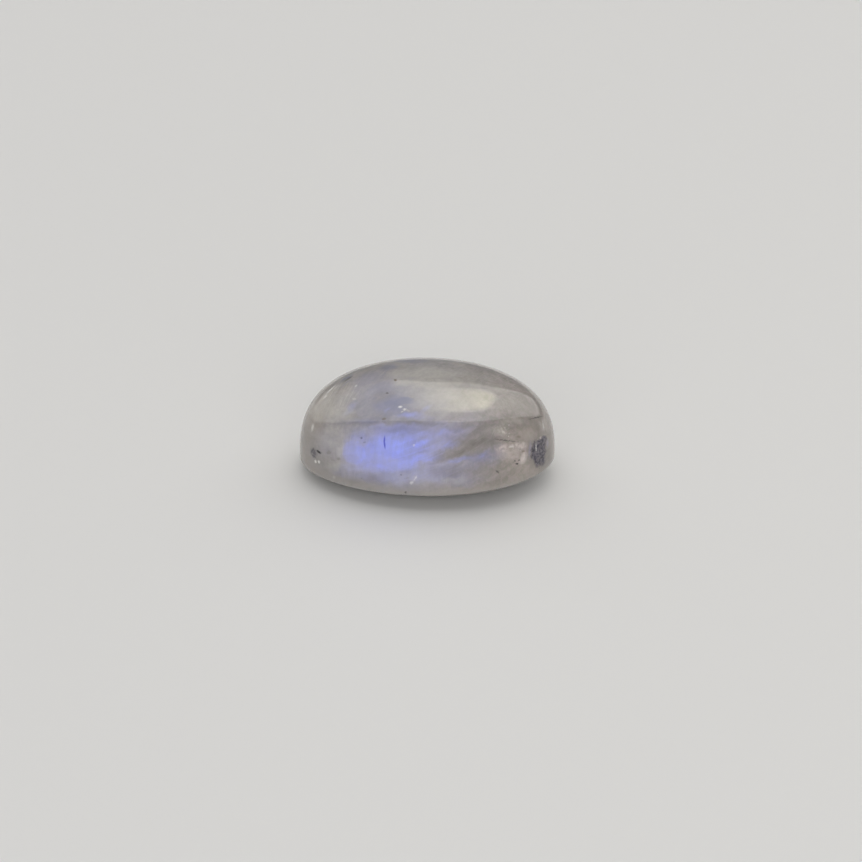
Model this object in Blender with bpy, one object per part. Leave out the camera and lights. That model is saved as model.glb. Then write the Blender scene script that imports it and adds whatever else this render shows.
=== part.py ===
"""Moonstone cabochon: one oval, high-domed, polished stone with a shallow convex back.

Metres, +Z up. +X runs along the stone's length towards its slightly broader end.
The origin is the middle of the small flat spot that the stone rests on.
"""

from math import cos, pi, sin, tau

import bmesh
import bpy

MM = 0.001

# Driving dimensions.
LENGTH = 14.0 * MM
WIDTH = 10.0 * MM
GIRDLE_HEIGHT = 0.96 * MM
DOME_HEIGHT = 4.92 * MM
FLAT_SHARE = 0.30
END_TAPER = 0.045
GIRDLE_RISE = 0.25 * MM

# Exponents of the two profile curves: 1 is a straight slope, 2 an ellipse, more is fuller.
DOME_FULLNESS = 2.7
BACK_FULLNESS = 1.4

# Facets of the solid.
SEGMENTS = 80
DOME_RINGS = 26
BACK_RINGS = 7

# Finish of the polished stone.
STONE_COLOUR = (0.62, 0.61, 0.61, 1.0)
STONE_ROUGHNESS = 0.08
STONE_METALLIC = 0.0

HALF_LENGTH = LENGTH / 2
MERGE_DISTANCE = 0.001 * MM


def clear_scene():
    for item in list(bpy.data.objects):
        bpy.data.objects.remove(item, do_unlink=True)


def full_curve(turn, fullness):
    """Across and up shares of a superellipse quarter: turn 0 is its side, pi/2 its top."""
    across = max(cos(turn), 0.0) ** (2 / fullness)
    up = sin(turn) ** (2 / fullness)
    return across, up


def stone_profile():
    """Half section from the middle of the flat spot, round the girdle, to the top of the dome."""
    points = [(0.0, 0.0), (FLAT_SHARE * HALF_LENGTH, 0.0)]
    for ring in range(1, BACK_RINGS + 1):
        across, down = full_curve(pi / 2 * (1 - ring / BACK_RINGS), BACK_FULLNESS)
        share = FLAT_SHARE + (1 - FLAT_SHARE) * across
        points.append((share * HALF_LENGTH, GIRDLE_HEIGHT * (1 - down)))
    for ring in range(1, DOME_RINGS + 1):
        across, up = full_curve(pi / 2 * ring / DOME_RINGS, DOME_FULLNESS)
        points.append((across * HALF_LENGTH, GIRDLE_HEIGHT + DOME_HEIGHT * up))
    return points


def turn_profile(points):
    """Round stone: the half section spun a full turn about the upright axis."""
    shape = bmesh.new()
    verts = [shape.verts.new((radius, 0.0, height)) for radius, height in points]
    edges = [shape.edges.new(pair) for pair in zip(verts, verts[1:])]
    bmesh.ops.spin(
        shape,
        geom=verts + edges,
        cent=(0.0, 0.0, 0.0),
        axis=(0.0, 0.0, 1.0),
        angle=tau,
        steps=SEGMENTS,
        use_merge=True,
    )
    bmesh.ops.remove_doubles(shape, verts=shape.verts, dist=MERGE_DISTANCE)
    return shape


def press_to_oval(shape):
    """Oval plan, a little broader towards +X, where the girdle also stands a little higher."""
    for vert in shape.verts:
        along = vert.co.x / HALF_LENGTH
        height = vert.co.z
        back_share = min(height / GIRDLE_HEIGHT, 1.0)
        dome_share = max((height - GIRDLE_HEIGHT) / DOME_HEIGHT, 0.0)
        vert.co.y *= WIDTH / LENGTH * (1 + END_TAPER * along)
        vert.co.z += GIRDLE_RISE * along * min(back_share, 1 - dome_share)


def stone_material():
    material = bpy.data.materials.new("polished_moonstone")
    material.use_nodes = True
    shader = material.node_tree.nodes["Principled BSDF"]
    shader.inputs["Base Color"].default_value = STONE_COLOUR
    shader.inputs["Roughness"].default_value = STONE_ROUGHNESS
    shader.inputs["Metallic"].default_value = STONE_METALLIC
    return material


def make_moonstone():
    shape = turn_profile(stone_profile())
    press_to_oval(shape)
    bmesh.ops.recalc_face_normals(shape, faces=shape.faces)
    mesh = bpy.data.meshes.new("moonstone")
    shape.to_mesh(mesh)
    shape.free()
    mesh.shade_smooth()
    mesh.set_sharp_from_angle(angle=pi / 6)
    mesh.materials.append(stone_material())
    stone = bpy.data.objects.new("moonstone", mesh)
    bpy.context.scene.collection.objects.link(stone)
    return stone


clear_scene()
make_moonstone()
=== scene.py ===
from math import atan2, cos, degrees, hypot, pi, radians, sin, tau

import bmesh
import bpy
from mathutils import Matrix, Vector, noise
from mathutils.bvhtree import BVHTree


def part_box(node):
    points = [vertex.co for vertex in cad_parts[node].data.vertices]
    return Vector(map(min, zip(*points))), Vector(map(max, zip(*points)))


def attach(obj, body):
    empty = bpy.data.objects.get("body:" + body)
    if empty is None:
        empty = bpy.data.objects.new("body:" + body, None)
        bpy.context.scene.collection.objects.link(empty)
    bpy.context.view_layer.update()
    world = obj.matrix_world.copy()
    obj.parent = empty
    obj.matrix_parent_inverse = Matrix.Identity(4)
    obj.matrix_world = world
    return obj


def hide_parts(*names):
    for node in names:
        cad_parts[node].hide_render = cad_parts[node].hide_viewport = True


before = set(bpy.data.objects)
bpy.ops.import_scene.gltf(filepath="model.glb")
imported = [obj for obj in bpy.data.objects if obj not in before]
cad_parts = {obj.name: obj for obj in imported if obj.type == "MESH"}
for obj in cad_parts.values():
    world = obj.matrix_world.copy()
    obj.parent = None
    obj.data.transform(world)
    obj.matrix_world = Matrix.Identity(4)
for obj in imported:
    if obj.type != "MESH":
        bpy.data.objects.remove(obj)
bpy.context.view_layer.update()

MM = 0.001

# The stone keeps the driving dimensions of its solid and gets a finer surface.
LOW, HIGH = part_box("moonstone")
HALF_LENGTH = (HIGH.x - LOW.x) / 2
WIDTH_SHARE = 10.0 / 14.0
GIRDLE_HEIGHT = 0.96 * MM
DOME_HEIGHT = HIGH.z - LOW.z - GIRDLE_HEIGHT
FLAT_SHARE = 0.30
END_TAPER = 0.045
GIRDLE_RISE = 0.25 * MM
DOME_FULLNESS = 2.7
BACK_FULLNESS = 1.4
SEGMENTS = 288
DOME_RINGS = 90
BACK_RINGS = 30
FLAT_RINGS = 8
MERGE_DISTANCE = 0.0001 * MM
LAP_DEPTH = 0.003 * MM
LAP_WAVE = 2.6 * MM

# Spots that a shader works out together, and the shift in millimetres that makes the next ones wait.
BATCH = 24
NUDGE = 0.000001
SPOT_DEPTH = 1.5

# The camera stands where the photograph was taken from. Its picture is PHOTO_SIDE pixels each way.
PHOTO_SIDE = 862
LENS = 135.0
SENSOR = 36.0
CAMERA_DISTANCE = 177.6 * MM
CAMERA_AZIMUTH = radians(5.65)
CAMERA_ELEVATION = radians(26.63)
AIM = Vector((0.22 * MM, 0.0, 2.35 * MM))

# Studio light. The key and the fill brighten surfaces; the softbox face is what the polish mirrors.
PAPER = 0.74
SURROUND = 0.28
KEY_POWER = 2.95
KEY_PLACE = (0.02, 0.22, 0.45)
KEY_SIZE = (1.5, 0.90)
FRONT_POWER = 1.7
FRONT_PLACE = (0.05, -0.50, 0.16)
FRONT_SIZE = (0.70, 0.35)
FACE_HEIGHT = 0.45
FACE_NEAR_EDGE = (
    (-14.0, 4.60), (-4.60, 1.50), (-2.00, 0.22), (-1.20, -0.12), (-0.45, -0.235), (-0.10, -0.205),
    (0.13, -0.175), (0.26, -0.09), (0.45, 0.06), (1.05, 0.70), (2.60, 2.80),
)
FACE_FAR_EDGE = (
    (-14.0, 14.0), (-4.60, 4.70), (-2.00, 2.80), (-0.95, 1.55), (-0.40, 0.85), (-0.14, 0.65),
    (0.14, 0.61), (0.26, 0.74), (0.39, 0.97), (0.61, 1.36), (1.35, 3.00),
)
FACE_GLOW = 1.4
PANEL_X = (-0.40, -0.10)
PANEL_GLOW = 0.35
FAR_FADE_Y = (0.0, 0.60)
FAR_SHARE = 0.76
WING_X = (-0.85, -0.50, -0.20, -0.08)
WING_FADE_Y = (0.25, 0.66)
WING_LOSS = 0.55
CLOTH_COLOUR = (1.0, 0.98, 0.94)
LAMP_COLOUR = (1.0, 0.965, 0.78)
LAMP_MIDDLE = (0.05, 0.25)
LAMP_HALF_DEPTH = 0.09
LAMP_CORNER = (0.20, 0.105)
LAMP_FADE_X = (-0.17, 0.15)
LAMP_FADE_Y = (0.62, 0.30)
LAMP_FAR_SHARE = 0.15
LAMP_GLOW = 3.8

# Colours of the stone, as linear shares of red, green and blue.
WARM_MILK = (0.372, 0.349, 0.328)
COOL_MILK = (0.338, 0.326, 0.328)
MAUVE_MILK = (0.318, 0.288, 0.266)
GREEN_TINGE = (0.905, 0.930, 0.885)
PINK_TINGE = (1.11, 1.05, 1.08)
# Painted sheen: the blue adularescence is painted into the stone's colour.
DEEP_SHEEN = (0.405, 0.460, 1.00)
PALE_SHEEN = (0.405, 0.450, 0.97)
# Smoky bands, and painted shade at the foot and at the lower right end.
SMOKE_AND_SHADE = (0.205, 0.190, 0.182)
# Pale clouds, and painted highlight along the softbox's mirrored band.
PALE_CLOUD_AND_HIGHLIGHT = (0.57, 0.545, 0.505)
ROSY_CLOUD = (0.62, 0.545, 0.535)
BLUE_SHADE = (0.200, 0.206, 0.290)
SNOW = (0.66, 0.61, 0.59)
# Painted glints and highlights.
GLINT = (0.86, 0.85, 0.84)
NEEDLE = (0.12, 0.13, 0.62)
DARK = (0.028, 0.028, 0.036)
SLATE = (0.050, 0.045, 0.068)
SLATE_PALE = (0.235, 0.215, 0.245)
RUST = (0.15, 0.11, 0.07)
# Warm tint and painted shade towards the girdle.
GIRDLE_WARM_SHADE = (0.318, 0.298, 0.285)
# Painted shade at both ends of the oval.
END_SHADE = (0.300, 0.272, 0.254)
GROUND_BACK = (0.42, 0.41, 0.395)

# What the photograph shows in the stone. A patch is the pixel of its middle, half its length and
# width in pixels, its slant in degrees, its strength, and the share of it that is full before it fades.
# Patches of painted blue sheen.
SHEEN_PATCHES = {
    "haze": (412, 426, 100, 58, 0, 0.10, 0.20),
    "broad": (384, 452, 56, 23, 0, 0.44, 0.50),
    "heart": (388, 450, 40, 19, 0, 0.26, 0.30),
    "glow": (394, 449, 22, 12, 0, 0.12, 0.20),
    "top": (402, 434.5, 24, 6, 0, 0.14, 0.20),
    "right_lobe": (434, 445, 28, 16, 18, 0.26, 0.20),
    "low_lobe": (410, 464, 30, 8, 6, 0.20, 0.20),
    "low_right": (442, 462, 22, 11, 0, 0.16, 0.20),
    "veil": (404, 429, 74, 9, 0, 0.22, 0.30),
    "left_shoulder": (358, 436, 15, 8, 10, 0.18, 0.20),
    "hem": (400, 474, 80, 14, 0, 0.24, 0.25),
    "under_glint_wide": (416, 416, 20, 6, 0, 0.20, 0.20),
    "right_fringe": (474, 462, 34, 14, 5, 0.12, 0.20),
    "low_haze": (424, 480, 90, 16, 0, 0.11, 0.20),
    "right_shade": (456, 433, 24, 13, 6, 0.16, 0.20),
    "left_hem": (352, 464, 18, 10, 0, 0.15, 0.20),
    "crown_haze": (378, 384, 46, 24, 0, 0.08, 0.20),
    "left_haze": (334, 442, 30, 26, 0, 0.09, 0.20),
    "right_top": (419, 437, 20, 9, 8, 0.26, 0.20),
    "left_low_edge": (376, 468, 18, 7, 0, 0.17, 0.20),
    "right_haze": (490, 454, 22, 13, 10, 0.09, 0.20),
    "right_veil": (440, 422, 26, 6, 0, 0.13, 0.20),
    "low_right_haze": (454, 480, 34, 10, 0, 0.09, 0.20),
    "low_left_haze": (348, 472, 26, 9, -14, 0.08, 0.20),
    "bridge": (367, 458, 9, 12, 0, 0.12, 0.20),
    "blade_root": (425, 459, 10, 5, 20, 0.14, 0.20),
    "left_veil": (370, 423, 36, 6, -4, 0.10, 0.20),
}
# Crisp patches of painted blue sheen.
CRISP_SHEEN = {
    "left_block": (353, 452, 12.5, 13.5, 0, 0.15, 0.80),
    "slate_fringe": (529.5, 449, 2.2, 12, 0, 0.13, 0.20),
    "slate_fringe_right": (547, 443, 1.8, 7, 0, 0.10, 0.20),
}
# Smoky bands. The patch at the lower right end is painted shade, and the patches at the foot also darken the
# stone towards the bottom.
SMOKE_AND_SHADE_PATCHES = {
    "right_blot": (512, 424, 6, 5, 0, 0.45, 0.30),
    "right_field": (524, 423, 22, 8, 6, 0.32, 0.20),
    "middle_field": (472, 442, 34, 19, 22, 0.56, 0.20),
    "low_field": (488, 468, 34, 13, 8, 0.36, 0.20),
    "foot_left": (362, 476, 34, 8, -10, 0.38, 0.20),
    "foot_right": (498, 478, 34, 9, 16, 0.36, 0.20),
    "right_end_shade": (546, 458, 14, 20, 0, 0.75, 0.20),
    "spot_left_of_band": (352, 416, 7, 3.4, 10, 0.32, 0.30),
    "left_smudge": (327.5, 452.3, 3.8, 2.2, 0, 0.58, 0.30),
    "left_smudge_low": (331, 458, 2.5, 1.8, 0, 0.30, 0.30),
    "left_smudge_right": (338.5, 457.8, 3.2, 2.6, 0, 0.55, 0.30),
    "left_foot": (350, 478, 26, 7, -14, 0.30, 0.20),
    "foot_of_glint": (404.5, 478, 2.8, 1.6, 0, 0.45, 0.20),
    "over_middle": (458, 427, 26, 8, 0, 0.34, 0.20),
    "low_middle": (444, 472, 26, 11, 4, 0.46, 0.20),
    "notch": (440, 456, 13, 9, 20, 0.56, 0.20),
    "foot_middle": (432, 486, 40, 8, 0, 0.22, 0.20),
    "core": (471, 443, 15, 6, 18, 0.88, 0.20),
    "left_of_glint": (382, 395, 17, 9, 8, 0.38, 0.20),
    "under_band_left": (380, 416, 18, 6, 0, 0.30, 0.20),
    "by_needle": (375, 443, 8, 9, 0, 0.12, 0.20),
    "over_right_lobe": (440, 430.5, 15, 4, 0, 0.14, 0.20),
    "under_rust": (382.5, 421, 5, 3.2, 0, 0.35, 0.20),
}
# Pale clouds. The patches at the crown, just above the softbox's mirrored band, in that band and round the
# mirrored lamp are painted highlight.
CLOUD_AND_HIGHLIGHT_PATCHES = {
    "left": (327, 408, 22, 20, 58, 0.38, 0.25),
    "left_edge": (314, 412, 9, 15, 60, 0.40, 0.25),
    "left_middle": (342, 412, 11, 18, 60, 0.40, 0.20),
    "left_low": (333, 438, 19, 20, 0, 0.48, 0.20),
    "over_patch": (352, 430, 20, 8, 0, 0.24, 0.20),
    "left_foot": (334, 464, 13, 8, 0, 0.34, 0.20),
    "crown": (428, 373, 52, 10, 0, 0.66, 0.25),
    "crown_right": (470, 376, 34, 10, -6, 0.25, 0.20),
    "upper": (404, 381.5, 16, 6.5, -8, 0.66, 0.25),
    "upper_right": (430, 382, 40, 8, -2, 0.74, 0.20),
    "upper_far": (494, 388, 34, 8, -14, 0.35, 0.20),
    "band": (440, 402, 52, 16, -4, 0.20, 0.20),
    "band_right": (512, 403, 26, 13, -8, 0.42, 0.20),
    "lamp_highlight": (484, 404, 20, 8, 0, 0.34, 0.20),
    "under_band": (442, 411, 34, 7, 0, 0.42, 0.20),
    "right_of_crack": (528, 436, 12, 9, 0, 0.22, 0.20),
    "beside_glint": (407, 409.5, 5, 2.2, -12, 0.60, 0.20),
    "granules": (496, 430, 17, 10, 0, 0.34, 0.20),
    "right_rim": (545.5, 424, 3, 12, 12, 0.45, 0.30),
    "low_left": (334.6, 475, 3.0, 2.6, 0, 0.45, 0.20),
    "low_middle": (411, 479, 8, 6, 50, 0.50, 0.20),
    "low_band": (412, 477, 34, 11, 0, 0.24, 0.20),
    "left_shoulder": (333, 430, 14, 9, 0, 0.58, 0.20),
    "beside_patch": (339, 449, 6, 11, 0, 0.60, 0.20),
    "rim_right": (541, 425, 5, 9, 0, 0.45, 0.20),
    "band_foot": (514, 420, 18, 5, 4, 0.40, 0.20),
    "crown_bank": (474, 384, 18, 6, -10, 0.50, 0.20),
    "low_right_bank": (455, 480, 16, 6, 6, 0.34, 0.20),
    "over_sheen_left": (359, 442, 12, 8, 0, 0.24, 0.20),
    "crown_middle_highlight": (457, 381, 13, 7, 0, 0.55, 0.20),
}
SILK_PATCHES = {
    "upper_left": (343, 390, 34, 20, 42, 0.55, 0.20),
    "crown": (392, 372, 26, 10, 10, 0.30, 0.20),
}
ROSY_PATCHES = {
    "left_bank": (503, 448, 10, 6.5, 8, 0.80, 0.20),
    "right_bank": (520, 445, 10, 6, 4, 0.78, 0.20),
    "low_bank": (523, 457, 4.8, 9.5, -12, 0.85, 0.20),
    "between_banks": (511, 452, 19, 12, 0, 0.40, 0.20),
    "slate_window": (540.5, 437.5, 2.8, 1.4, 0, 0.85, 0.30),
    "middle_bank": (511, 445.5, 5, 3, 10, 0.85, 0.20),
}
GRAIN_PATCHES = {
    "granules": (505, 430, 13, 9, 0, 0.34, 0.20),
    "left_bank": (503, 448, 9, 6, 8, 0.50, 0.20),
    "right_bank": (519, 446, 11, 7, 4, 0.60, 0.20),
    "low_bank": (523, 457, 5, 9, -12, 0.55, 0.20),
}
BLUE_SHADE_PATCHES = {
    "under_glint": (400, 414, 12, 5.5, 0, 0.55, 0.20),
    "glint_field": (390, 405, 30, 18, 0, 0.74, 0.20),
    "crown_left": (388, 367, 17, 5.5, 12, 0.60, 0.20),
    "crown": (410, 360, 26, 3.4, 2, 0.50, 0.20),
    "crown_wide": (368, 378, 26, 11, 20, 0.34, 0.20),
    "middle_wide": (379, 389, 24, 13, 20, 0.42, 0.20),
    "grey_field": (366, 407, 24, 16, 0, 0.22, 0.20),
    "left_hatch": (358, 386, 7, 13, 20, 0.25, 0.20),
    "above_low_right": (476, 456, 20, 9, 10, 0.32, 0.20),
    "over_patch": (398, 430, 26, 7, 0, 0.42, 0.20),
    "under_band": (374, 418, 24, 6, 4, 0.55, 0.20),
}
CRISP_SHADE = {
    "over_glint": (404, 400, 12, 5.2, -4, 0.84, 0.50),
    "left_of_glint": (389, 402.8, 11, 5.0, 4, 0.82, 0.45),
    "small_blot": (374.5, 397.5, 5.5, 2.8, 10, 0.50, 0.25),
    "under_glint": (399, 413.5, 8, 3.2, 0, 0.45, 0.25),
    "above_needle": (381, 427.5, 5, 2.6, 0, 0.25, 0.25),
    "between_glint_shades": (397, 402.5, 9, 4.6, 0, 0.84, 0.50),
}
SLATE_PATCHES = {
    "trunk": (538.6, 451, 9.0, 15, 0, 1.0, 0.62),
    "head": (543, 441, 4.6, 8.0, 0, 1.0, 0.45),
    "foot": (539.5, 460.5, 7.0, 8.0, 0, 1.0, 0.50),
    "halo": (537.5, 450, 12, 19.5, 2, 0.38, 0.30),
    "left_cluster": (313.3, 452.8, 5.8, 5.4, -30, 0.72, 0.35),
}
DARK_PATCHES = {
    "slate_core_high": (540.5, 443.5, 2.0, 2.4, 0, 0.55, 0.20),
    "slate_core_left": (532.6, 449.5, 1.6, 3.0, 0, 0.50, 0.20),
    "slate_core_low": (541, 457, 2.4, 1.8, 0, 0.65, 0.20),
    "slate_core_foot": (531.5, 456.5, 2.0, 2.6, 0, 0.50, 0.20),
    "dot_by_needle": (360.8, 437.4, 1.7, 1.5, 0, 0.46, 0.30),
    "dot_by_needle_low": (364.0, 441.8, 2.1, 1.3, 0, 0.26, 0.30),
    "dot_in_crown": (386.7, 392.6, 2.0, 1.4, 0, 0.55, 0.30),
    "dot_on_rim": (405.2, 491.8, 1.6, 1.6, 0, 0.60, 0.30),
    "dot_low": (400.4, 474.2, 1.3, 1.1, 0, 0.40, 0.30),
    "dot_right": (516.2, 463.2, 2.2, 1.1, 5, 0.95, 0.30),
    "dot_right_high": (518.5, 459.7, 1.3, 1.1, 0, 0.80, 0.30),
    "dot_right_left": (514.3, 460.4, 1.1, 1.0, 0, 0.65, 0.30),
}
RUST_PATCHES = {
    "on_top_edge": (395, 379.6, 2.3, 1.4, 10, 0.85, 0.30),
    "under_band": (383.5, 418.6, 3.0, 1.9, 5, 0.55, 0.30),
    "by_crack": (518, 436.6, 3.0, 2.0, 0, 0.30, 0.20),
    "by_low_bank": (523, 451, 2.2, 1.7, 0, 0.50, 0.20),
}
# Painted glints from cleavage inside the stone.
GLINT_PATCHES = {
    "middle_left": (399.8, 406.4, 3.2, 1.7, 12, 0.74, 0.15),
    "middle_right": (404.0, 408.8, 2.4, 1.7, 25, 0.62, 0.15),
    "in_sheen": (413.4, 444.8, 1.7, 1.7, 0, 0.44, 0.20),
    "left_flake": (312, 427, 1.8, 5.4, -18, 0.42, 0.20),
    "upper_left": (325, 396, 2.2, 1.8, 20, 0.45, 0.20),
    "upper_dot": (355.5, 385.4, 1.8, 1.6, 0, 0.45, 0.20),
    "upper_low_dot": (353.5, 398.4, 2.8, 1.6, -10, 0.26, 0.20),
    "left_twin": (315.0, 461.0, 1.5, 2.3, 0, 0.80, 0.20),
    "right_twin": (318.4, 461.3, 1.5, 2.3, 5, 0.75, 0.20),
    "foot": (411.2, 482.4, 3.0, 2.1, 35, 0.44, 0.20),
    "granule": (503.2, 431.8, 2.2, 1.8, 20, 0.34, 0.20),
    "granule_high": (508.5, 424.5, 1.2, 1.0, 0, 0.35, 0.20),
    "bank": (510.5, 446.2, 3.4, 1.6, 15, 0.40, 0.20),
    "low_bank": (523.8, 457.3, 1.5, 3.8, 15, 0.25, 0.20),
    "middle_speck": (401.6, 411.2, 1.5, 1.0, 40, 0.40, 0.20),
}

# A streak runs from one pixel to another: half its width in pixels, its strength and its full share.
# Streaks of painted blue sheen.
SHEEN_STREAKS = {
    "upper_blade": (406, 449, 438, 437, 5.6, 0.22, 0.20),
    "lower_blade": (402, 465, 441, 452, 5.4, 0.23, 0.20),
    "far_blade": (444, 462, 476, 455.5, 3.4, 0.30, 0.20),
    "last_blade": (474, 458, 489, 449, 4.0, 0.18, 0.20),
    "shade_blade": (436, 450, 462, 443, 4.6, 0.28, 0.20),
    "shade_tip": (436, 436, 445, 426, 3.6, 0.12, 0.20),
    "under_glint": (393, 417.5, 421, 412, 4.2, 0.26, 0.25),
    "left_wisp": (341, 418, 359, 398, 4.0, 0.18, 0.20),
    "violet_wisp": (381, 412.5, 393, 408.5, 2.8, 0.13, 0.20),
    "band_wisp": (418, 416, 430, 402, 3.4, 0.16, 0.20),
}
SMOKE_STREAKS = {
    "main": (432, 463, 484, 440, 7.0, 0.74, 0.10),
    "main_crest": (456, 449, 508, 436, 6.5, 0.78, 0.10),
    "shoulder": (464, 440, 498, 418, 7.5, 0.46, 0.10),
    "brow": (508, 427, 542, 418, 6.0, 0.40, 0.10),
    "low_line": (434, 476, 468, 460, 3.8, 0.46, 0.10),
    "under_band_left": (334, 425, 396, 419.5, 5.5, 0.30, 0.10),
    "under_band_right": (376, 421.5, 470, 423.5, 3.6, 0.22, 0.10),
    "between_blades": (408, 457, 438, 446, 2.2, 0.26, 0.10),
    "below_blades": (418, 467, 442, 458, 2.4, 0.25, 0.10),
}
SHADE_STREAKS = {
    "outline_dark": (337, 383.5, 354.5, 371.5, 1.7, 0.60, 0.20),
    "crown_hatch": (362, 386, 378, 370, 1.6, 0.35, 0.15),
    "crown_hatch_right": (376, 380, 392, 364, 1.6, 0.35, 0.15),
    "outline_hatch": (340, 388, 350, 377, 1.2, 0.40, 0.15),
}
# Painted glints and thin painted highlights, such as the line along the upper left outline.
GLINT_STREAKS = {
    "outline_line": (324.5, 394.5, 337.5, 382.0, 0.85, 0.60, 0.15),
    "outline_line_low": (321, 400, 328, 392, 0.9, 0.30, 0.15),
    "foot_line": (412.2, 481.2, 417.6, 473.6, 0.95, 0.45, 0.15),
    "slate_hairline": (535.4, 439.5, 535.7, 454.5, 0.55, 0.65, 0.15),
    "rim_wisp": (541, 416, 544.5, 433, 0.8, 0.35, 0.15),
    "block_edge": (342.6, 441, 341.8, 461, 1.1, 0.09, 0.15),
}
DARK_STREAKS = {
    "sliver": (315.2, 449.6, 321.4, 453.3, 1.7, 1.0, 0.35),
    "cluster_edge": (314.4, 446.6, 309.8, 452.6, 1.3, 0.60, 0.20),
    "cluster_foot": (310.2, 453.5, 316.5, 457.8, 1.1, 0.45, 0.20),
    "short_dash": (493.8, 469.2, 499.6, 473.0, 1.1, 0.60, 0.20),
    "rim_crack": (526, 419.4, 546.5, 414.6, 0.75, 0.65, 0.15),
    "middle_crack": (489, 438.0, 525, 442.4, 0.8, 0.50, 0.15),
    "outline_nick": (341.5, 382.5, 354.0, 374.0, 1.2, 0.46, 0.20),
    "cluster_rib": (312.0, 449.5, 314.5, 456.0, 0.9, 0.40, 0.20),
    "band_ripple": (477, 386.6, 491, 389.0, 0.9, 0.10, 0.20),
}
NEEDLE_STREAKS = {
    "upper": (384.3, 433.4, 383.4, 446.5, 1.20, 0.95, 0.25),
    "lower": (383.4, 437.5, 384.8, 450.4, 1.20, 0.95, 0.25),
}

# Guessed features of the sides that the photograph hides: bearing in degrees from +X towards +Y,
# height, half length and half width in millimetres, slant in degrees, strength and full share.
# Guessed patches of painted blue sheen.
FAR_SHEEN = {
    "broad": (100, 2.9, 2.8, 1.3, 6, 0.50, 0.30),
    "streak": (68, 2.2, 1.7, 0.45, -14, 0.40, 0.20),
    "left_patch": (150, 3.2, 1.6, 0.7, 18, 0.35, 0.20),
    "crown_patch": (120, 5.6, 1.8, 0.9, 40, 0.22, 0.20),
}
FAR_SMOKE = {
    "long_streak": (85, 3.8, 3.0, 0.35, -12, 0.60, 0.15),
    "low_streak": (125, 1.8, 1.6, 0.22, -10, 0.50, 0.15),
    "end_streak": (20, 3.0, 1.5, 0.3, 35, 0.45, 0.15),
    "left_end_streak": (188, 2.6, 1.4, 0.3, -28, 0.45, 0.15),
}
FAR_CLOUDS = {
    "bank": (60, 3.6, 1.8, 1.2, 20, 0.40, 0.20),
    "low_bank": (165, 2.0, 1.5, 0.8, 0, 0.40, 0.20),
    "high_bank": (110, 4.9, 2.2, 0.8, -10, 0.42, 0.20),
    "end_bank": (12, 4.0, 1.0, 0.6, 15, 0.40, 0.20),
}
FAR_DARK = {
    "crack": (95, 2.0, 1.1, 0.035, 12, 0.55, 0.15),
    "side_crack": (28, 3.4, 0.8, 0.03, 65, 0.50, 0.15),
    "end_crack": (172, 3.3, 0.9, 0.035, -35, 0.50, 0.15),
    "sliver": (132, 3.0, 0.22, 0.05, 30, 0.80, 0.30),
    "dot": (75, 3.1, 0.08, 0.06, 0, 0.80, 0.30),
}
# Guessed painted glints.
FAR_GLINTS = {
    "flake": (112, 3.9, 0.30, 0.07, 50, 0.50, 0.20),
    "dot": (50, 2.4, 0.10, 0.08, 0, 0.60, 0.20),
    "line": (155, 4.0, 0.60, 0.04, 40, 0.45, 0.15),
}


def link(thing):
    bpy.context.scene.collection.objects.link(thing)
    return thing


def object_from(shape, name, material):
    mesh = bpy.data.meshes.new(name)
    shape.to_mesh(mesh)
    shape.free()
    mesh.materials.append(material)
    return link(bpy.data.objects.new(name, mesh))


# Camera

def make_camera():
    data = bpy.data.cameras.new("camera")
    data.lens = LENS
    data.sensor_width = SENSOR
    data.clip_start = 0.001
    data.clip_end = 10.0
    camera = link(bpy.data.objects.new("camera", data))
    level = cos(CAMERA_ELEVATION)
    away = Vector((sin(CAMERA_AZIMUTH) * level, -cos(CAMERA_AZIMUTH) * level, sin(CAMERA_ELEVATION)))
    camera.location = away * CAMERA_DISTANCE
    camera.rotation_euler = (AIM - camera.location).to_track_quat("-Z", "Y").to_euler()
    bpy.context.scene.camera = camera
    bpy.context.view_layer.update()
    return camera


def sight_line(camera, across, down):
    """Direction in which the camera sees a pixel of the photograph."""
    step = SENSOR / LENS / PHOTO_SIDE
    middle = (PHOTO_SIDE - 1) / 2
    ahead = Vector(((across - middle) * step, (middle - down) * step, -1.0))
    return (camera.matrix_world.to_3x3() @ ahead).normalized()


# Shader graph

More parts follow.
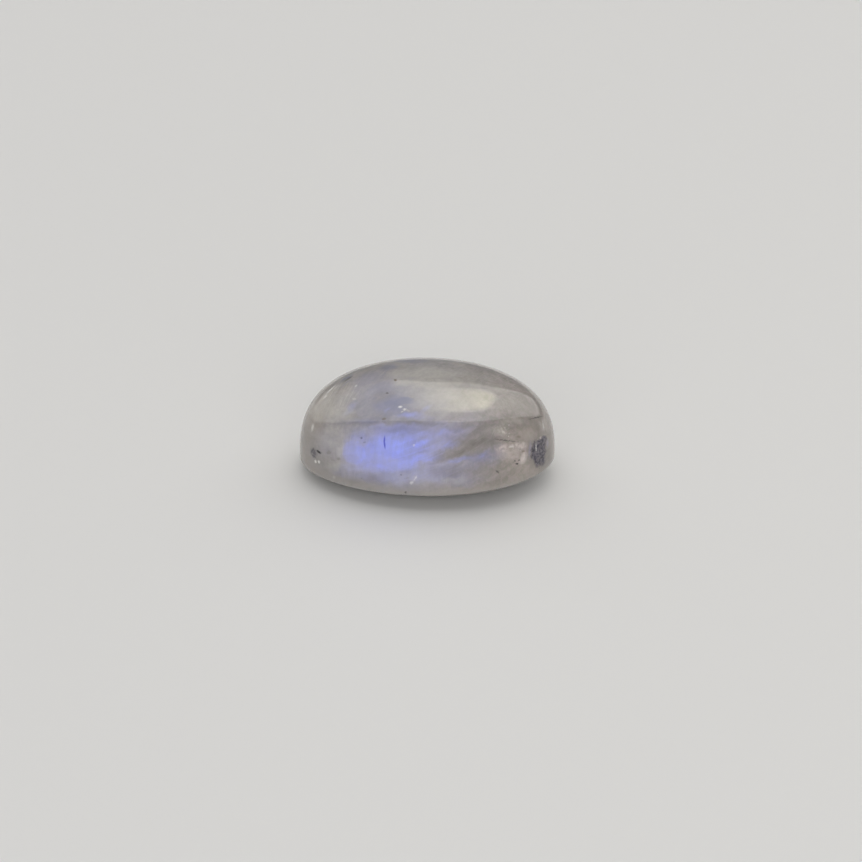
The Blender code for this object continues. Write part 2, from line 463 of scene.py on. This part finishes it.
class Graph:
    """Short spellings for the nodes of one material."""

    def __init__(self, material):
        material.use_nodes = True
        self.tree = material.node_tree
        self.shader = self.tree.nodes.get("Principled BSDF")
        self.latest = None

    def add(self, kind, inputs, **settings):
        node = self.tree.nodes.new(kind)
        for name, value in settings.items():
            setattr(node, name, value)
        for socket, value in inputs.items():
            self.feed(node.inputs[socket], value)
        return node

    def feed(self, socket, value):
        if isinstance(value, bpy.types.NodeSocket):
            self.tree.links.new(value, socket)
        elif socket.type == "RGBA" and len(value) == 3:
            socket.default_value = (*value, 1.0)
        else:
            socket.default_value = value

    def math(self, operation, first, second=0.0):
        return self.add("ShaderNodeMath", {0: first, 1: second}, operation=operation).outputs[0]

    def vector(self, operation, first, second):
        return self.add("ShaderNodeVectorMath", {0: first, 1: second}, operation=operation).outputs["Vector"]

    def scaled(self, vector, factor):
        inputs = {0: vector, "Scale": factor}
        return self.add("ShaderNodeVectorMath", inputs, operation="SCALE").outputs["Vector"]

    def length(self, vector):
        return self.add("ShaderNodeVectorMath", {0: vector}, operation="LENGTH").outputs["Value"]

    def blend(self, share, first, second):
        node = self.add("ShaderNodeMix", {0: share, 6: first, 7: second}, data_type="RGBA")
        return node.outputs[2]

    def ramp(self, value, start, end, low=0.0, high=1.0):
        """Smooth step: low where value is start, high where it is end."""
        inputs = {"Value": value, "From Min": start, "From Max": end, "To Min": low, "To Max": high}
        return self.add("ShaderNodeMapRange", inputs, interpolation_type="SMOOTHSTEP").outputs["Result"]

    def noise(self, place, scale, detail=2.0, roughness=0.5, distortion=0.0):
        inputs = {"Vector": place, "Scale": scale, "Detail": detail, "Roughness": roughness,
                  "Distortion": distortion}
        return self.add("ShaderNodeTexNoise", inputs).outputs

    def turned(self, place, turn, stretch):
        """Place in a frame turned by Euler angles and stretched, for a layered pattern."""
        inputs = {"Vector": place, "Rotation": turn, "Scale": stretch}
        return self.add("ShaderNodeMapping", inputs, vector_type="TEXTURE").outputs["Vector"]

    def drift(self, place, scale, reach, detail=3.0):
        """Place moved about by noise, so that what is drawn on it loses its smooth outline."""
        push = self.vector("SUBTRACT", self.noise(place, scale, detail, 0.6)["Color"], (0.5, 0.5, 0.5))
        return self.vector("ADD", place, self.scaled(push, reach))

    def spot(self, place, spot):
        """The spot's strength in its middle, down to 0 at its edge."""
        inputs = {"Vector": place, "Location": spot["middle"], "Rotation": spot["turn"], "Scale": spot["reach"]}
        local = self.add("ShaderNodeMapping", inputs, vector_type="TEXTURE").outputs["Vector"]
        return self.ramp(self.length(local), 1.0, spot["full"], 0.0, spot["strength"])

    def held(self, place):
        """Same place, worked out after the latest spots: the renderer keeps few values at a time."""
        if self.latest is None:
            return place
        wait = self.scaled((NUDGE, NUDGE, NUDGE), self.latest)
        return self.vector("ADD", place, wait)

    def joined(self, operation, place, spots):
        total = None
        for start in range(0, len(spots), BATCH):
            held = self.held(place)
            for spot in spots[start:start + BATCH]:
                share = self.spot(held, spot)
                total = share if total is None else self.math(operation, total, share)
            self.latest = total
        return total

    def strongest(self, place, spots):
        return self.joined("MAXIMUM", place, spots)

    def gathered(self, place, spots):
        """Spots whose strengths add up where they overlap."""
        return self.joined("ADD", place, spots)


# Studio

def make_floor():
    shape = bmesh.new()
    bmesh.ops.create_grid(shape, x_segments=1, y_segments=1, size=3.0)
    material = bpy.data.materials.new("pale_paper")
    graph = Graph(material)
    graph.feed(graph.shader.inputs["Base Color"], (PAPER, PAPER, PAPER))
    graph.shader.inputs["Roughness"].default_value = 0.6
    object_from(shape, "floor", material)


def make_light(name, place, size, power, colour):
    """Soft light that brightens surfaces and isn't mirrored in the polish."""
    data = bpy.data.lights.new(name, "AREA")
    data.shape = "RECTANGLE"
    data.size, data.size_y = size
    data.energy = power
    data.color = colour
    light = link(bpy.data.objects.new(name, data))
    light.location = place
    light.rotation_euler = (-Vector(place)).to_track_quat("-Z", "Y").to_euler()
    light.visible_glossy = False


def softbox_glow(graph):
    """Light of the softbox face: cloth that dims away from the camera, and a warm lamp to the right."""
    place = graph.add("ShaderNodeTexCoord", {}).outputs["Object"]
    axes = graph.add("ShaderNodeSeparateXYZ", {"Vector": place}).outputs
    panel = graph.ramp(axes["X"], PANEL_X[0], PANEL_X[1], FACE_GLOW, FACE_GLOW + PANEL_GLOW)
    depth = graph.ramp(axes["Y"], FAR_FADE_Y[0], FAR_FADE_Y[1], 1.0, FAR_SHARE)
    panel = graph.math("MULTIPLY", panel, depth)
    wing = graph.math("MULTIPLY", graph.ramp(axes["X"], WING_X[0], WING_X[1]),
                      graph.ramp(axes["X"], WING_X[3], WING_X[2]))
    wing = graph.math("MULTIPLY", wing, graph.ramp(axes["Y"], WING_FADE_Y[0], WING_FADE_Y[1], 0.0, WING_LOSS))
    panel = graph.math("MULTIPLY", panel, graph.math("SUBTRACT", 1.0, wing))
    past_side = graph.math("MAXIMUM", graph.math("SUBTRACT", axes["X"], LAMP_MIDDLE[0]), 0.0)
    off_middle = graph.math("ABSOLUTE", graph.math("SUBTRACT", axes["Y"], LAMP_MIDDLE[1]))
    past_depth = graph.math("MAXIMUM", graph.math("SUBTRACT", off_middle, LAMP_HALF_DEPTH), 0.0)
    corner = graph.add("ShaderNodeCombineXYZ", {"X": past_side, "Y": past_depth}).outputs[0]
    lamp = graph.ramp(graph.length(corner), LAMP_CORNER[0], LAMP_CORNER[1], 0.0, LAMP_GLOW)
    lamp = graph.math("MULTIPLY", lamp, graph.ramp(axes["X"], LAMP_FADE_X[0], LAMP_FADE_X[1]))
    fade = graph.ramp(axes["Y"], LAMP_FADE_Y[0], LAMP_FADE_Y[1], LAMP_FAR_SHARE)
    lamp = graph.math("MULTIPLY", lamp, fade)
    colour = graph.blend(graph.ramp(lamp, 0.0, LAMP_GLOW), CLOTH_COLOUR, LAMP_COLOUR)
    return {"Color": colour, "Strength": graph.math("ADD", panel, lamp)}


def make_glowing_face(shape, name, glow_of):
    """Flat thing that shines in the polish alone: the lights brighten everything else."""
    material = bpy.data.materials.new(name)
    graph = Graph(material)
    emission = graph.add("ShaderNodeEmission", glow_of(graph))
    nodes = graph.tree.nodes
    graph.tree.links.new(emission.outputs[0], nodes["Material Output"].inputs["Surface"])
    nodes.remove(graph.shader)
    face = object_from(shape, name, material)
    face.visible_diffuse = False
    face.visible_camera = False
    face.visible_shadow = False


def make_softbox_face():
    """Arched cloth over the stone: its wings reach away on both sides, behind the stone."""
    shape = bmesh.new()
    edges = []
    for outline in (FACE_NEAR_EDGE, FACE_FAR_EDGE):
        verts = [shape.verts.new((x, y, FACE_HEIGHT)) for x, y in outline]
        edges += [shape.edges.new(pair) for pair in zip(verts, verts[1:])]
    bmesh.ops.bridge_loops(shape, edges=edges)
    make_glowing_face(shape, "softbox_face", softbox_glow)


def make_world():
    world = bpy.data.worlds.new("studio")
    world.use_nodes = True
    background = world.node_tree.nodes["Background"]
    background.inputs["Color"].default_value = (1.0, 1.0, 1.0, 1.0)
    background.inputs["Strength"].default_value = SURROUND
    bpy.context.scene.world = world


# Stone shape

def full_curve(turn, fullness):
    """Across and up shares of a superellipse quarter: turn 0 is its side, pi/2 its top."""
    across = max(cos(turn), 0.0) ** (2 / fullness)
    up = sin(turn) ** (2 / fullness)
    return across, up


def stone_profile():
    """Half section from the middle of the flat spot, round the girdle, to the top of the dome."""
    points = [(FLAT_SHARE * HALF_LENGTH * ring / FLAT_RINGS, 0.0) for ring in range(FLAT_RINGS + 1)]
    for ring in range(1, BACK_RINGS + 1):
        across, down = full_curve(pi / 2 * (1 - ring / BACK_RINGS), BACK_FULLNESS)
        share = FLAT_SHARE + (1 - FLAT_SHARE) * across
        points.append((share * HALF_LENGTH, GIRDLE_HEIGHT * (1 - down)))
    for ring in range(1, DOME_RINGS + 1):
        across, up = full_curve(pi / 2 * ring / DOME_RINGS, DOME_FULLNESS)
        points.append((across * HALF_LENGTH, GIRDLE_HEIGHT + DOME_HEIGHT * up))
    return points


def press_to_oval(shape):
    """Oval plan, a little broader towards +X, where the girdle also stands a little higher."""
    for vert in shape.verts:
        along = vert.co.x / HALF_LENGTH
        height = vert.co.z
        back_share = min(height / GIRDLE_HEIGHT, 1.0)
        dome_share = max((height - GIRDLE_HEIGHT) / DOME_HEIGHT, 0.0)
        vert.co.y *= WIDTH_SHARE * (1 + END_TAPER * along)
        vert.co.z += GIRDLE_RISE * along * min(back_share, 1 - dome_share)


def lap_by_hand(shape):
    """Faint waves that hand polishing leaves in the dome, always cut inwards."""
    shape.normal_update()
    for vert in shape.verts:
        if vert.co.z > GIRDLE_HEIGHT:
            depth = 0.5 + 0.5 * noise.noise(vert.co / LAP_WAVE)
            vert.co -= vert.normal * LAP_DEPTH * depth


def make_stone_shape():
    shape = bmesh.new()
    verts = [shape.verts.new((radius, 0.0, height)) for radius, height in stone_profile()]
    edges = [shape.edges.new(pair) for pair in zip(verts, verts[1:])]
    bmesh.ops.spin(shape, geom=verts + edges, cent=(0, 0, 0), axis=(0, 0, 1), angle=tau,
                   steps=SEGMENTS, use_merge=True)
    bmesh.ops.remove_doubles(shape, verts=shape.verts, dist=MERGE_DISTANCE)
    press_to_oval(shape)
    bmesh.ops.recalc_face_normals(shape, faces=shape.faces)
    lap_by_hand(shape)
    return shape


# Places on the stone, in millimetres

def make_spot(middle, along, normal, half_long, half_wide, strength, full):
    """Ellipsoid round a point of the surface, deep enough for its curve out to a patch's ends."""
    depth = SPOT_DEPTH * max(half_long, half_wide)
    turn = Matrix((along, normal.cross(along), normal)).transposed().to_euler()
    reach = Vector((half_long, half_wide, depth)) / MM
    return {"middle": middle / MM, "turn": turn, "reach": reach, "strength": strength, "full": full}


class Chart:
    """Turns pixels of the photograph, or bearings round the stone, into spots on its surface."""

    def __init__(self, shape, camera):
        self.surface = BVHTree.FromBMesh(shape)
        self.camera = camera

    def step(self, across, down, middle, normal):
        """Step along the surface from the middle to where a pixel's sight line meets its plane."""
        line = sight_line(self.camera, across, down)
        start = self.camera.location
        reach = (middle - start).dot(normal) / line.dot(normal)
        return start + line * reach - middle

    def patch(self, across, down, half_long, half_wide, slant, strength, full):
        start = self.camera.location
        middle, normal, _, _ = self.surface.ray_cast(start, sight_line(self.camera, across, down))
        tilt = radians(slant)
        right, up = half_long * cos(tilt), half_long * sin(tilt)
        along = self.step(across + right, down - up, middle, normal)
        right, up = -half_wide * sin(tilt), half_wide * cos(tilt)
        beside = self.step(across + right, down - up, middle, normal)
        side = normal.cross(along).normalized()
        width = abs(beside.dot(side))
        return make_spot(middle, along.normalized(), normal, along.length, width, strength, full)

    def streak(self, across, down, end_across, end_down, half_wide, strength, full):
        right, up = end_across - across, down - end_down
        slant = degrees(atan2(up, right))
        middle = ((across + end_across) / 2, (down + end_down) / 2)
        return self.patch(*middle, hypot(right, up) / 2, half_wide, slant, strength, full)

    def far_patch(self, bearing, height, half_long, half_wide, slant, strength, full):
        turn = radians(bearing)
        outside = Vector((cos(turn), sin(turn), 0.0)) * 3 * HALF_LENGTH
        outside.z = height * MM * 1.6
        inside = Vector((0.0, 0.0, height * MM * 0.4))
        middle, normal, _, _ = self.surface.ray_cast(outside, (inside - outside).normalized())
        level = Vector((0, 0, 1)).cross(normal).normalized()
        tilt = radians(slant)
        along = level * cos(tilt) + normal.cross(level) * sin(tilt)
        return make_spot(middle, along, normal, half_long * MM, half_wide * MM, strength, full)

    def spots(self, patches, streaks=None, far=None):
        found = [self.patch(*row) for row in patches.values()]
        found += [self.streak(*row) for row in (streaks or {}).values()]
        found += [self.far_patch(*row) for row in (far or {}).values()]
        return found


# Stone finish

def milky_body(graph, place, axes):
    """Cloudy milk, warm to the left and mauve to the right, with faint grain and two sets of layers."""
    clouds = graph.noise(place, 0.28, 4.0, 0.55)["Fac"]
    colour = graph.blend(graph.ramp(clouds, 0.40, 0.60), COOL_MILK, WARM_MILK)
    colour = graph.blend(graph.ramp(axes["X"], -1.0, 6.5, 0.0, 0.75), colour, MAUVE_MILK)
    curd = graph.ramp(graph.noise(place, 0.55, 7.0, 0.60, 0.6)["Fac"], 0.30, 0.70, 0.87, 1.13)
    grain = graph.ramp(graph.noise(place, 5.0, 6.0, 0.7)["Fac"], 0.30, 0.70, 0.96, 1.04)
    upright = graph.turned(place, (0, 0, radians(-21)), (0.24, 3.0, 2.4))
    upright = graph.noise(upright, 1.0, 5.0, 0.65, 0.5)["Fac"]
    cleavage = graph.turned(place, (0, radians(-24), 0), (3.0, 3.0, 0.30))
    cleavage = graph.noise(cleavage, 1.0, 5.0, 0.65, 0.5)["Fac"]
    layers = graph.math("MULTIPLY", graph.ramp(upright, 0.30, 0.70, 0.97, 1.03),
                        graph.ramp(cleavage, 0.30, 0.70, 0.96, 1.04))
    shade = graph.math("MULTIPLY", graph.math("MULTIPLY", curd, grain), layers)
    colour = graph.scaled(colour, shade)
    curdle = graph.ramp(graph.noise(place, 3.2, 6.0, 0.68, 0.5)["Fac"], 0.38, 0.62)
    tinge = graph.blend(curdle, GREEN_TINGE, PINK_TINGE)
    tinged = graph.vector("MULTIPLY", colour, tinge)
    colour = graph.blend(graph.ramp(axes["X"], 0.5, 4.5, 0.40, 1.0), colour, tinged)
    return colour, upright, cleavage


def silky_veils(graph, chart, place, colour):
    """Fine pale threads that follow the upright layers, in scattered banks and the ones that show."""
    along = graph.turned(place, (0, 0, radians(-21)), (0.085, 1.5, 1.1))
    threads = graph.ramp(graph.noise(along, 1.0, 3.0, 0.5, 0.8)["Fac"], 0.54, 0.70)
    banks = graph.ramp(graph.noise(place, 0.45, 3.0)["Fac"], 0.52, 0.66, 0.0, 0.28)
    banks = graph.math("MAXIMUM", banks, graph.strongest(place, chart.spots(SILK_PATCHES)))
    return graph.blend(graph.math("MULTIPLY", threads, banks), colour, PALE_CLOUD_AND_HIGHLIGHT)


def specks(graph, place, colour, scale, size, share, tint, strength):
    """Tiny grains: one in some of the cells of a pattern."""
    cells = graph.add("ShaderNodeTexVoronoi", {"Vector": place, "Scale": scale}).outputs
    picked = graph.add("ShaderNodeSeparateColor", {"Color": cells["Color"]}).outputs
    chosen = graph.math("LESS_THAN", picked["Red"], share)
    reach = graph.math("MULTIPLY", graph.ramp(picked["Green"], 0.0, 1.0, 0.4, 1.0), size)
    dot = graph.ramp(graph.math("DIVIDE", cells["Distance"], reach), 1.0, 0.3, 0.0, strength)
    return graph.blend(graph.math("MULTIPLY", dot, chosen), colour, tint)


def stone_colour(graph, chart, place, axes):
    """Milk with painted shade at the girdle and ends, painted blue sheen, smoky bands with painted shade,
    clouds with painted highlight, inclusions and painted glints, one painted over the other.
    """
    soft = graph.drift(place, 1.1, 0.75)
    near = graph.drift(place, 4.5, 0.16)
    fine = graph.drift(place, 12.0, 0.15)
    colour, upright, cleavage = milky_body(graph, place, axes)
    colour = silky_veils(graph, chart, place, colour)
    # Warm tint and painted shade towards the girdle: the stone is painted darker towards the bottom.
    girdle_shade = graph.ramp(axes["Z"], 1.7, 1.0, 0.0, 0.7)
    colour = graph.blend(girdle_shade, colour, GIRDLE_WARM_SHADE)
    # Painted shade out at both ends of the oval.
    ends = graph.ramp(graph.math("ABSOLUTE", axes["X"]), 4.6, 6.9, 0.0, 0.55)
    colour = graph.blend(ends, colour, END_SHADE)

    shade = graph.strongest(soft, chart.spots(BLUE_SHADE_PATCHES, SHADE_STREAKS))
    shade = graph.math("MAXIMUM", shade, graph.strongest(near, chart.spots(CRISP_SHADE)))
    colour = graph.blend(shade, colour, BLUE_SHADE)

    # Painted blue sheen, added up from its patches and streaks.
    sheen = graph.gathered(soft, chart.spots(SHEEN_PATCHES, SHEEN_STREAKS, FAR_SHEEN))
    sheen = graph.math("ADD", sheen, graph.gathered(near, chart.spots(CRISP_SHEEN)))
    rightward = graph.ramp(axes["X"], -2.2, 0.6, 0.20, 1.0)
    blades = graph.math("MULTIPLY", graph.ramp(cleavage, 0.35, 0.65, -0.16, 0.12), rightward)
    combed = graph.ramp(upright, 0.35, 0.65, 0.95, 1.05)
    streaky = graph.math("MULTIPLY", combed, graph.math("ADD", blades, 1.0))
    flocks = graph.ramp(graph.noise(place, 1.6, 6.0, 0.65)["Fac"], 0.32, 0.68, 0.88, 1.10)
    streaky = graph.math("MULTIPLY", streaky, flocks)
    sheen = graph.math("MINIMUM", graph.math("MULTIPLY", sheen, streaky), 1.0)
    tone = graph.blend(graph.ramp(sheen, 0.35, 0.95), PALE_SHEEN, DEEP_SHEEN)
    colour = graph.blend(sheen, colour, tone)

    # Smoky bands, with painted shade at the foot and at the lower right end.
    smoke_and_shade = graph.strongest(soft, chart.spots(SMOKE_AND_SHADE_PATCHES, SMOKE_STREAKS, FAR_SMOKE))
    smoke_and_shade = graph.math("MULTIPLY", smoke_and_shade, graph.ramp(cleavage, 0.65, 0.35, 0.60, 1.0))
    colour = graph.blend(smoke_and_shade, colour, SMOKE_AND_SHADE)

    curds = graph.noise(place, 4.5, 6.0, 0.72)["Fac"]
    flecks = graph.ramp(curds, 0.38, 0.60, 0.40, 1.0)
    # Pale clouds, with painted highlight where the softbox's band is mirrored.
    cloud_and_highlight = graph.strongest(soft, chart.spots(CLOUD_AND_HIGHLIGHT_PATCHES, None, FAR_CLOUDS))
    cloud_and_highlight = graph.math("MULTIPLY", cloud_and_highlight, graph.ramp(curds, 0.38, 0.60, 0.58, 0.88))
    colour = graph.blend(cloud_and_highlight, colour, PALE_CLOUD_AND_HIGHLIGHT)
    rosy = graph.math("MULTIPLY", graph.strongest(near, chart.spots(ROSY_PATCHES)), flecks)
    colour = graph.blend(rosy, colour, ROSY_CLOUD)
    snow = graph.ramp(graph.noise(place, 6.5, 4.0, 0.6)["Fac"], 0.50, 0.62)
    snow = graph.math("MULTIPLY", snow, graph.strongest(near, chart.spots(GRAIN_PATCHES)))
    colour = graph.blend(snow, colour, SNOW)
    colour = graph.blend(graph.strongest(near, chart.spots(RUST_PATCHES)), colour, RUST)

    bent = graph.turned(graph.drift(place, 5.0, 0.30), (0, 0, 0), (1.0, 1.7, 1.0))
    inputs = {"Vector": bent, "Scale": 4.3}
    cells = graph.add("ShaderNodeTexVoronoi", inputs, feature="DISTANCE_TO_EDGE").outputs["Distance"]
    mottle = graph.ramp(graph.noise(place, 7.0, 5.0, 0.7)["Fac"], 0.40, 0.60, 0.22, 0.85)
    gaps = graph.ramp(graph.noise(place, 3.5, 3.0)["Fac"], 0.42, 0.58, 0.0, 0.6)
    mottle = graph.math("MULTIPLY", graph.math("MAXIMUM", graph.ramp(cells, 0.02, 0.26), gaps), mottle)
    slate = graph.strongest(graph.drift(place, 3.2, 0.55, 6.0), chart.spots(SLATE_PATCHES))
    slate = graph.math("MULTIPLY", slate, graph.ramp(curds, 0.62, 0.46, 0.72, 1.0))
    colour = graph.blend(slate, colour, graph.blend(mottle, SLATE, SLATE_PALE))

    colour = specks(graph, fine, colour, 1.6, 0.055, 0.10, DARK, 0.5)
    colour = specks(graph, fine, colour, 1.3, 0.060, 0.10, GLINT, 0.4)
    dark = graph.strongest(fine, chart.spots(DARK_PATCHES, DARK_STREAKS, FAR_DARK))
    colour = graph.blend(dark, colour, DARK)
    colour = graph.blend(graph.strongest(place, chart.spots({}, NEEDLE_STREAKS)), colour, NEEDLE)
    # Painted glints over all the rest.
    glint = graph.strongest(fine, chart.spots(GLINT_PATCHES, GLINT_STREAKS, FAR_GLINTS))
    return graph.blend(glint, colour, GLINT)


def stone_material(chart):
    material = bpy.data.materials.new("moonstone_polish")
    graph = Graph(material)
    sockets = graph.shader.inputs
    metres = graph.add("ShaderNodeTexCoord", {}).outputs["Object"]
    place = graph.scaled(metres, 1 / MM)
    axes = graph.add("ShaderNodeSeparateXYZ", {"Vector": place}).outputs
    colour = stone_colour(graph, chart, place, axes)

    tilt = graph.math("MULTIPLY", axes["X"], GIRDLE_RISE / HALF_LENGTH)
    ground = graph.ramp(graph.math("SUBTRACT", axes["Z"], tilt), 0.88, 0.74)
    lines = graph.turned(place, (0, 0, radians(35)), (0.03, 3.0, 1.0))
    scratch = graph.ramp(graph.noise(lines, 1.0, 3.0, 0.6)["Fac"], 0.35, 0.65, 0.96, 1.04)
    colour = graph.blend(ground, colour, graph.scaled(graph.blend(0.50, colour, GROUND_BACK), scratch))
    smudge = graph.ramp(graph.noise(place, 0.8, 4.0)["Fac"], 0.35, 0.65, 0.045, 0.075)
    matte = graph.ramp(graph.noise(lines, 1.0, 3.0, 0.6)["Fac"], 0.30, 0.70, 0.26, 0.42)
    rough = graph.add("ShaderNodeMix", {0: ground, 2: smudge, 3: matte}, data_type="FLOAT").outputs[0]

    graph.feed(sockets["Base Color"], colour)
    graph.feed(sockets["Roughness"], rough)
    sockets["IOR"].default_value = 1.56
    sockets["Subsurface Weight"].default_value = 1.0
    sockets["Subsurface Radius"].default_value = (1.0, 0.92, 0.8)
    sockets["Subsurface Scale"].default_value = 3.0 * MM
    return material


def make_cabochon(camera):
    shape = make_stone_shape()
    material = stone_material(Chart(shape, camera))
    cabochon = object_from(shape, "cabochon", material)
    cabochon.data.shade_smooth()
    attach(cabochon, "root")
    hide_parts("moonstone")


make_floor()
make_world()
make_softbox_face()
make_light("overhead_key", KEY_PLACE, KEY_SIZE, KEY_POWER, (1.0, 0.985, 0.96))
make_light("front_fill", FRONT_PLACE, FRONT_SIZE, FRONT_POWER, (1.0, 0.99, 0.97))
make_cabochon(make_camera())

bpy.context.scene.view_settings.view_transform = "Standard"
